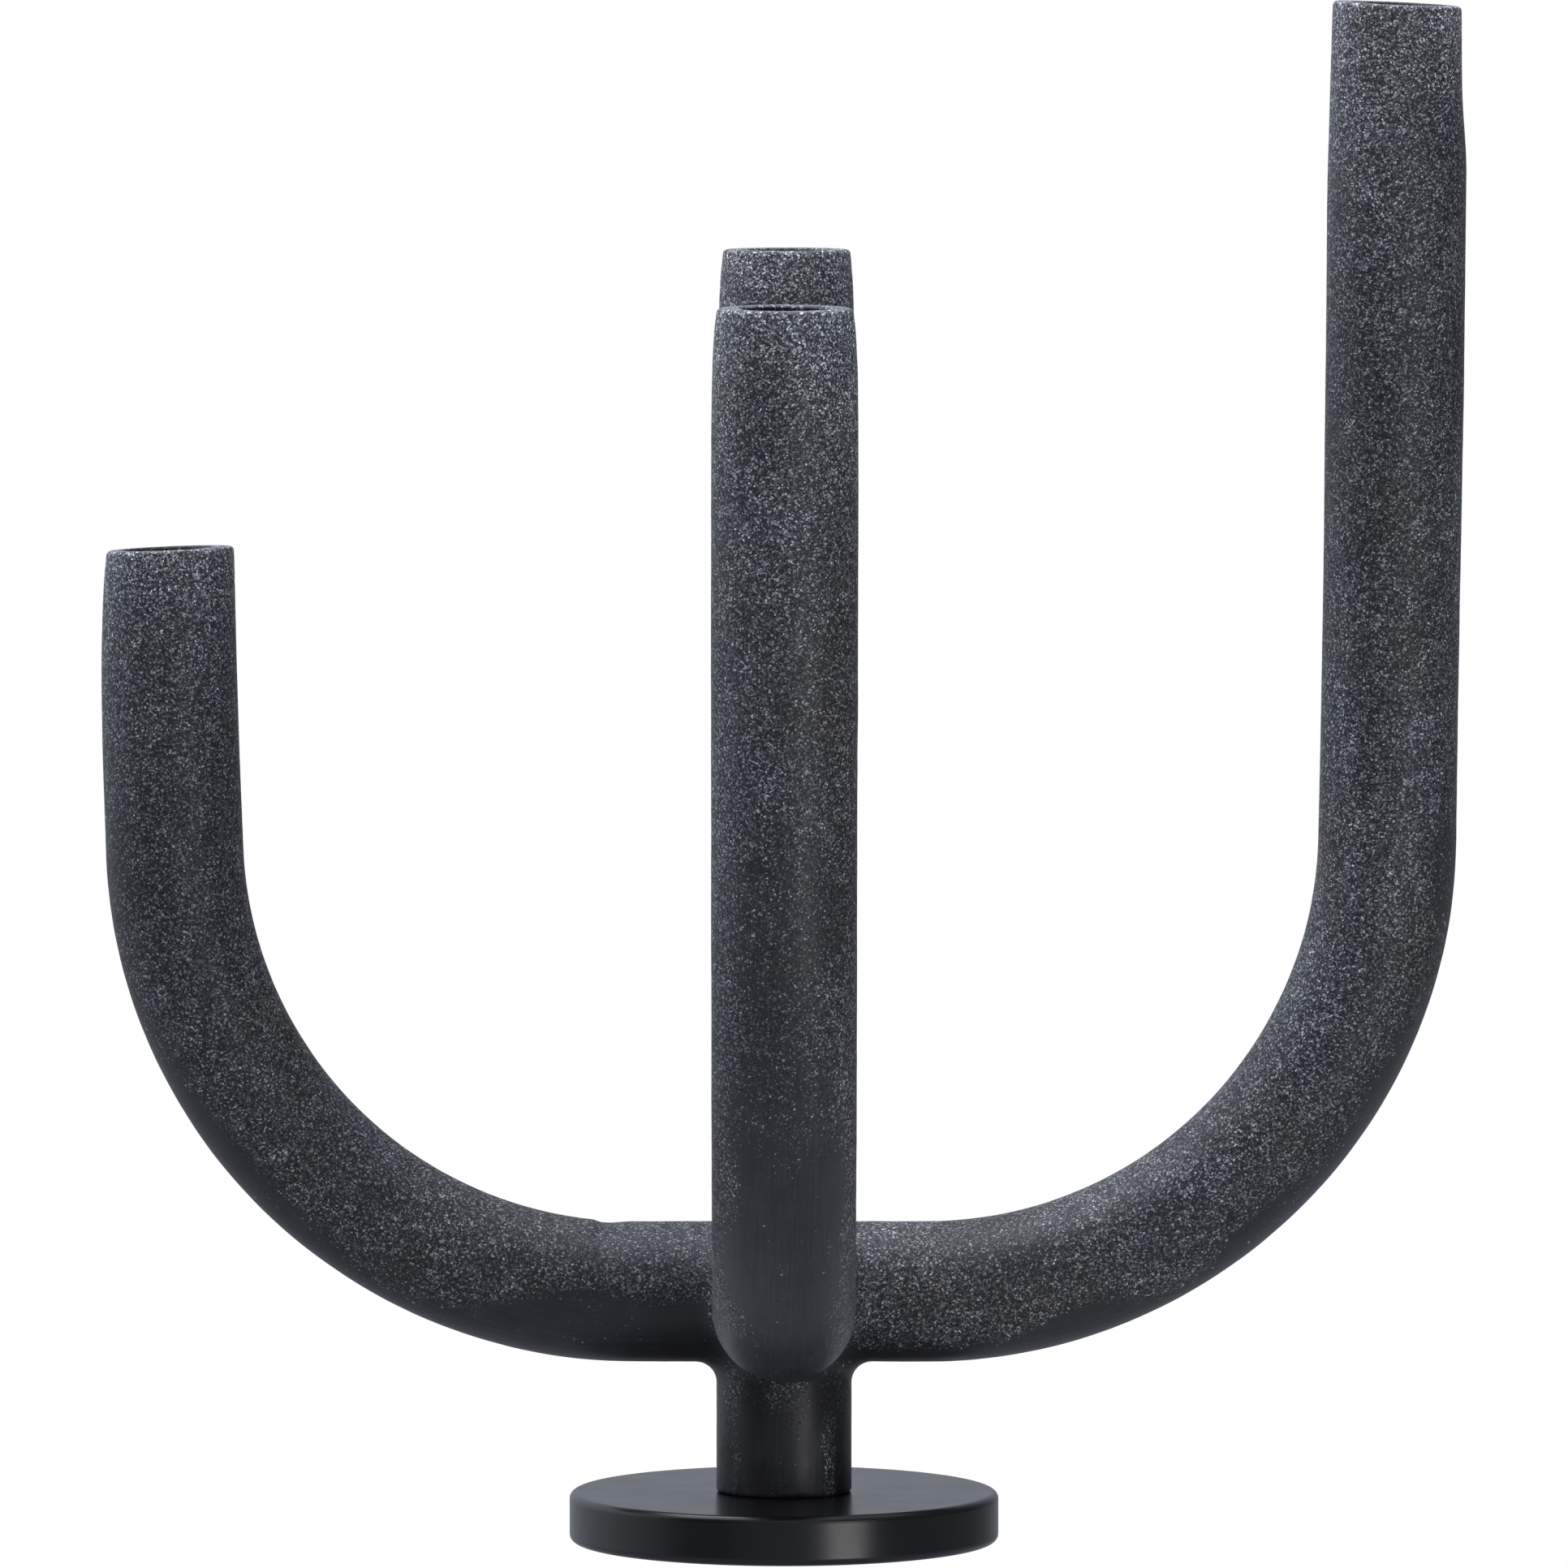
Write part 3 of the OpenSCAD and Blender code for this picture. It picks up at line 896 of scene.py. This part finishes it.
def steel_material(name, light, dark, stretch, roughness):
    """Bare or plated steel with drawing lines along one direction."""
    material, s, surface = new_material(name, light[:3])
    place = s.place()
    lines = s.noise(s.scaled(place, stretch), 0.3 * MM, 3.0, 0.6)
    cloud = s.noise(place, 6 * MM, 3.0)
    colour = s.mix(s.add(s.times(lines, 0.6), s.times(cloud, 0.4)), dark, light)
    rough = s.add(s.times(cloud, 0.16), roughness)
    normal = s.bump(lines, 0.004 * MM)
    finish_surface(s, surface, Base_Color=colour, Roughness=rough, Normal=normal)
    surface.inputs["Metallic"].default_value = 1.0
    return material


def felt_material():
    """Pressed black felt: tangled fibres with a soft sheen."""
    material, s, surface = new_material("pressed_black_felt", (0.014, 0.014, 0.015))
    place = s.place()
    bend = s.node("TexNoise", {"Vector": place, "Scale": 1 / (2.5 * MM), "Detail": 2.0})
    bent = s.vectors("ADD", place, s.scaled(bend.outputs["Color"], (3 * MM,) * 3))
    one_way = s.noise(s.scaled(bent, (1, 0.1, 1)), 0.16 * MM, 2.0)
    other_way = s.noise(s.scaled(bent, (0.1, 1, 1)), 0.16 * MM, 2.0)
    fibres = s.calculate("MAXIMUM", one_way, other_way)
    tuft = s.noise(place, 3 * MM, 3.0)
    colour = s.mix(s.step(fibres, 0.4, 0.75), (0.008, 0.008, 0.009, 1), (0.035, 0.035, 0.038, 1))
    colour = s.mix(s.times(tuft, 0.4), colour, (0.022, 0.022, 0.024, 1))
    normal = s.bump(s.add(fibres, s.times(tuft, 0.7)), 0.12 * MM)
    finish_surface(s, surface, Base_Color=colour, Normal=normal)
    surface.inputs["Roughness"].default_value = 0.95
    surface.inputs["Sheen Weight"].default_value = 0.4
    surface.inputs["Sheen Roughness"].default_value = 0.6
    return material


def give_material(piece, material):
    piece.data.materials.clear()
    piece.data.materials.append(material)


# ---------------------------------------------------------------- the felt pad

def make_pad():
    """The felt disc under the base, with a cut edge, a soft rim and an uneven nap below."""
    low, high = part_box("felt_pad")
    count = 288
    under_rings = 46
    edge_rings = 5
    top_rings = 23
    middle_r = 2 * MM
    angle = np.linspace(0, 2 * math.pi, count, endpoint=False)
    pad_r, thick = high.x, high.z
    edge = 0.35 * MM
    edge_turn = np.linspace(0.2, math.pi / 2, edge_rings)
    radii = np.concatenate([
        np.linspace(middle_r, pad_r - edge, under_rings),
        pad_r - edge * (1 - np.sin(edge_turn)),
        [pad_r, pad_r],
        np.linspace(pad_r, middle_r, top_rings + 1)[1:],
    ])
    heights = np.concatenate([
        np.zeros(under_rings),
        edge * (1 - np.cos(edge_turn)),
        [thick * 0.6, thick],
        np.full(top_rings, thick),
    ])
    circle = np.stack([np.cos(angle), np.sin(angle), np.zeros(count)], axis=1)
    rings = radii[:, None, None] * circle[None] + heights[:, None, None] * UP
    flat = rings.reshape(-1, 3)
    nap = 0.5 + 0.5 * noise(flat, 1.3 * MM, 41)
    below = (flat[:, 2] < 0.1 * MM).astype(float)
    beside = smooth(pad_r - 1 * MM, pad_r, np.hypot(flat[:, 0], flat[:, 1]))
    flat[:, 2] += 0.07 * MM * nap * below
    flat[:, :2] *= (1 - 0.15 * MM / pad_r * nap * beside * (flat[:, 2] < thick * 0.9))[:, None]
    middle = [[0, 0, 0.03 * MM], [0, 0, thick]]
    vertices = np.concatenate([flat, middle])
    last = (len(radii) - 1) * count
    first_middle = len(flat)
    fans = [[(i + 1) % count, i, first_middle] for i in range(count)]
    fans += [[last + i, last + (i + 1) % count, first_middle + 1] for i in range(count)]
    piece = new_piece("felt_pad_disc", vertices, ring_faces(len(radii), count) + fans)
    face_outwards(piece)
    return piece


# ---------------------------------------------------------------- putting it together

def smooth_shading(piece):
    piece.data.shade_smooth()
    piece.data.set_sharp_from_angle(angle=SHARP_ANGLE)


stone = stone_material()

for number, arm in enumerate(ARMS):
    piece = make_arm(arm, 100 + 10 * number)
    note_surface(piece, lambda points, number=number: np.full(len(points), number))
    smooth_shading(piece)
    give_material(piece, stone)
    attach(piece, "root")
    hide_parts(arm.name)

hub = make_hub()
note_surface(hub, nearest_arm)
smooth_shading(hub)
give_material(hub, stone)
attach(hub, "root")
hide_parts("hub_stem")

pad = make_pad()
smooth_shading(pad)
give_material(pad, felt_material())
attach(pad, "root")
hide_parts("felt_pad")

mild_steel = steel_material(
    "drawn_mild_steel", (0.36, 0.37, 0.38, 1), (0.2, 0.2, 0.205, 1), (1, 1, 0.05), 0.34
)
zinc_steel = steel_material(
    "zinc_plated_steel", (0.62, 0.63, 0.65, 1), (0.42, 0.43, 0.46, 1), (1, 1, 1), 0.24
)
CAD_LOOKS = {
    "base_disc": black_steel_material(),
    "core_block": mild_steel,
    "stem_stud": zinc_steel,
    "flat_washer": zinc_steel,
    "spring_washer": zinc_steel,
    "jam_nut": zinc_steel,
}
for arm in ARMS:
    CAD_LOOKS[arm.name + "_rod"] = mild_steel
for name, material in CAD_LOOKS.items():
    for slot in frame["nodes"][name].material_slots:
        slot.material = material


# ---------------------------------------------------------------- camera, floor and light

CAMERA_PLACE = (0, -4.1925, 0.5259)
CAMERA_TILT = math.radians(90 - 4.419)
CAMERA_LENS_MM = 365.05
CAMERA_SENSOR_MM = 36


def add_camera():
    """A long lens, four metres off, looking slightly down at the middle of the object."""
    data = bpy.data.cameras.new("camera")
    data.sensor_width = CAMERA_SENSOR_MM
    data.lens = CAMERA_LENS_MM
    data.clip_end = 200
    camera = bpy.data.objects.new("camera", data)
    camera.location = CAMERA_PLACE
    camera.rotation_euler = (CAMERA_TILT, 0, 0)
    bpy.context.scene.collection.objects.link(camera)
    bpy.context.scene.camera = camera


def add_floor():
    """A glowing white floor that throws no light back onto the object."""
    bpy.ops.mesh.primitive_plane_add(size=120)
    floor = bpy.context.object
    floor.name = "floor"
    material, s, surface = new_material("white_floor", (0.9, 0.9, 0.9))
    surface.inputs["Base Color"].default_value = (0, 0, 0, 1)
    surface.inputs["Roughness"].default_value = 1.0
    surface.inputs["Specular IOR Level"].default_value = 0.0
    surface.inputs["Emission Color"].default_value = (1, 1, 1, 1)
    surface.inputs["Emission Strength"].default_value = 1.0
    give_material(floor, material)
    floor.visible_diffuse = False
    floor.visible_glossy = False
    floor.visible_shadow = False


def add_softbox(name, location, target, size, watts, colour):
    data = bpy.data.lights.new(name, "AREA")
    data.shape = "RECTANGLE"
    data.size, data.size_y = size
    data.energy = watts
    data.color = colour
    light = bpy.data.objects.new(name, data)
    light.location = location
    aim = Vector(target) - Vector(location)
    light.rotation_euler = aim.to_track_quat("-Z", "Y").to_euler()
    light.visible_camera = False
    bpy.context.scene.collection.objects.link(light)


def add_world():
    """Soft studio light from all round: brightest above and on the left, dim on the right."""
    world = bpy.data.worlds.new("studio")
    bpy.context.scene.world = world
    s = Shader(world)
    direction = s.node("TexCoord", {}).outputs["Generated"]
    parts = s.node("SeparateXYZ", {0: direction})
    east, north, height = parts.outputs
    level = s.curve(s.add(s.times(height, 0.5), 0.5), [
        (0.0, 0.4), (0.44, 0.5), (0.5, 0.58), (0.56, 0.66), (0.75, 0.85), (1.0, 1.05)
    ])
    # All round: 0 and 1 are straight behind the object, 0.25 its left and 0.5 the camera
    turn = s.calculate("ARCTAN2", east, s.times(north, -1))
    turn = s.add(s.times(turn, 1 / (2 * math.pi)), 0.5)
    round_about = s.curve(turn, [
        (0.0, 0.68), (0.1, 0.98), (0.2, 1.3), (0.29, 0.9), (0.345, 0.04), (0.41, 0.06),
        (0.46, 0.42), (0.53, 0.5), (0.62, 0.26), (0.72, 0.18), (0.84, 0.14), (1.0, 0.7)
    ])
    low = s.step(height, -0.35, 0.0, 1.0, 0.0)
    round_about = s.mix(low, round_about, (0.85, 0.85, 0.85, 1))
    steep = s.step(s.calculate("ABSOLUTE", height), 0.5, 0.95)
    level = s.times(level, s.mix(steep, round_about, (0.8, 0.8, 0.8, 1)))
    sky = s.shade((0.93, 0.99, 1.13), level)
    seen = s.node("LightPath", {}).outputs["Is Camera Ray"]
    colour = s.mix(seen, sky, (1, 1, 1, 1))
    background = s.nodes["Background"]
    s.put(background.inputs["Color"], colour)
    background.inputs["Strength"].default_value = 1.0


add_camera()
add_floor()
add_world()
add_softbox(
    "overhead", location=(-0.45, 0.1, 1.65), target=(0, 0, 0.2), size=(1.3, 1.3),
    watts=14, colour=(0.97, 0.99, 1.06),
)
add_softbox(
    "strip", location=(1.09, -1.68, -0.1), target=(0, 0, 0.1), size=(0.72, 0.65),
    watts=5.4, colour=(0.99, 0.99, 1.0),
)

scene = bpy.context.scene
scene.view_settings.view_transform = "Standard"
scene.view_settings.look = "None"
